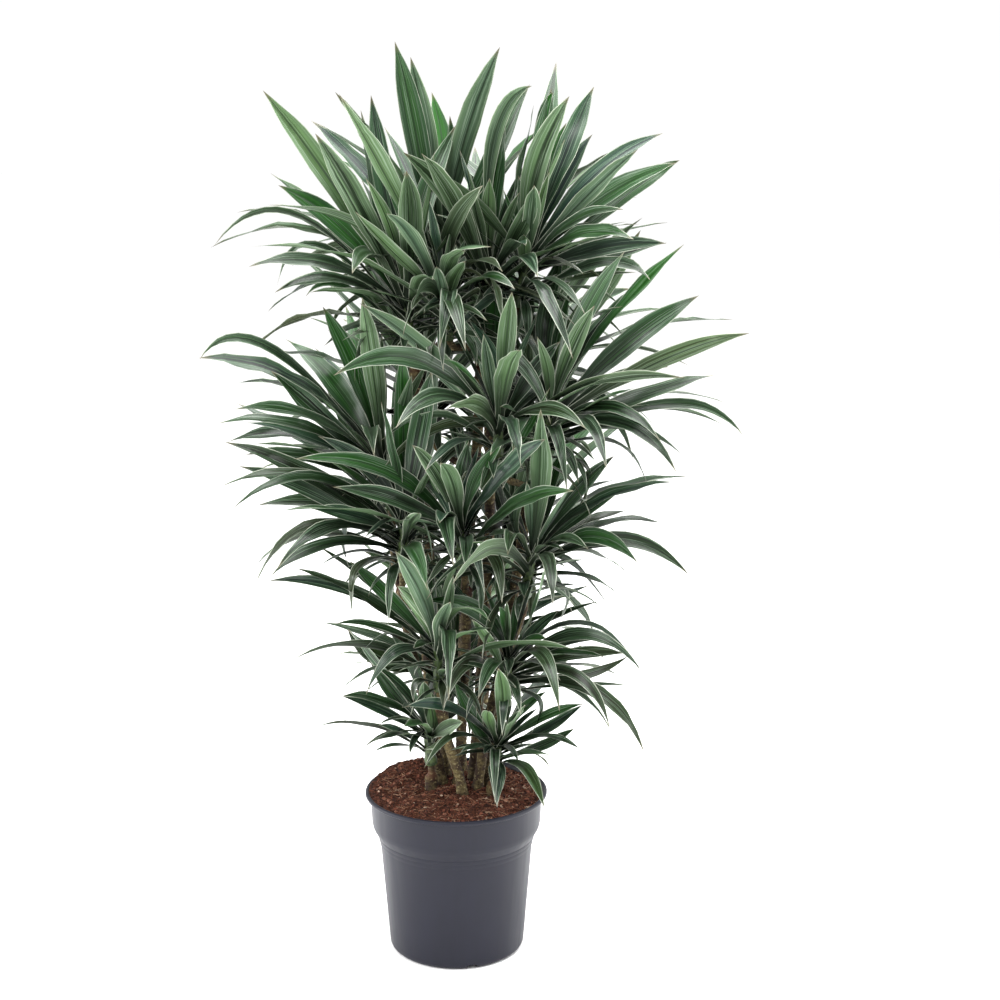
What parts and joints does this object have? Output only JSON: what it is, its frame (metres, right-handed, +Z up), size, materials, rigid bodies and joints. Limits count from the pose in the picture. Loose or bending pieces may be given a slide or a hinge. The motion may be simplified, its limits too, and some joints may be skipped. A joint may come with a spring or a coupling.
{
  "type": "potted dracaena",
  "caption": "Tall branched dracaena with white-edged arching leaves on bare canes, in a round dark nursery pot.",
  "frame": {"origin": "middle of the pot's underside, on the surface that the pot stands on", "axes": "+Z up along the pot's axis, +X to the right and +Y away from the side seen in the picture"},
  "size_m": [0.7752, 0.7253, 1.33],
  "materials": {
    "pot_plastic": "satin dark grey moulded polypropylene",
    "potting_soil": "loose reddish-brown peat and coir chips",
    "bark": "olive-brown bark with ring scars",
    "leaf": "glossy dark green with narrow cream margins, paler underneath"
  },
  "bodies": {
    "root": {"pot": "pot_plastic", "soil": "potting_soil", "cane_front": "bark", "cane_left_stub": "bark", "cane_right_stub": "bark", "cane_right": "bark", "cane_left": "bark", "cane_centre": "bark", "cane_tall_centre": "bark", "cane_tall_left": "bark", "cane_far_right": "bark", "cane_back": "bark", "cane_back_right": "bark", "cane_back_left": "bark", "shoot_lower_left": "leaf", "shoot_low_left": "leaf", "shoot_low_front": "leaf", "shoot_lower_right": "leaf", "shoot_mid_right": "leaf", "shoot_mid_left": "leaf", "shoot_left_upper": "leaf", "shoot_mid_centre": "leaf", "shoot_top_centre": "leaf", "shoot_top_right": "leaf", "shoot_top_front": "leaf", "shoot_top_left": "leaf", "shoot_top_back": "leaf", "shoot_right_upper": "leaf", "shoot_centre_upper": "leaf", "shoot_back_top": "leaf", "shoot_back_right_upper": "leaf", "shoot_back_left_upper": "leaf", "shoot_back_right_mid": "leaf", "shoot_back_low": "leaf", "shoot_back_left_mid": "leaf", "shoot_back_left_low": "leaf"}
  },
  "joints": []
}
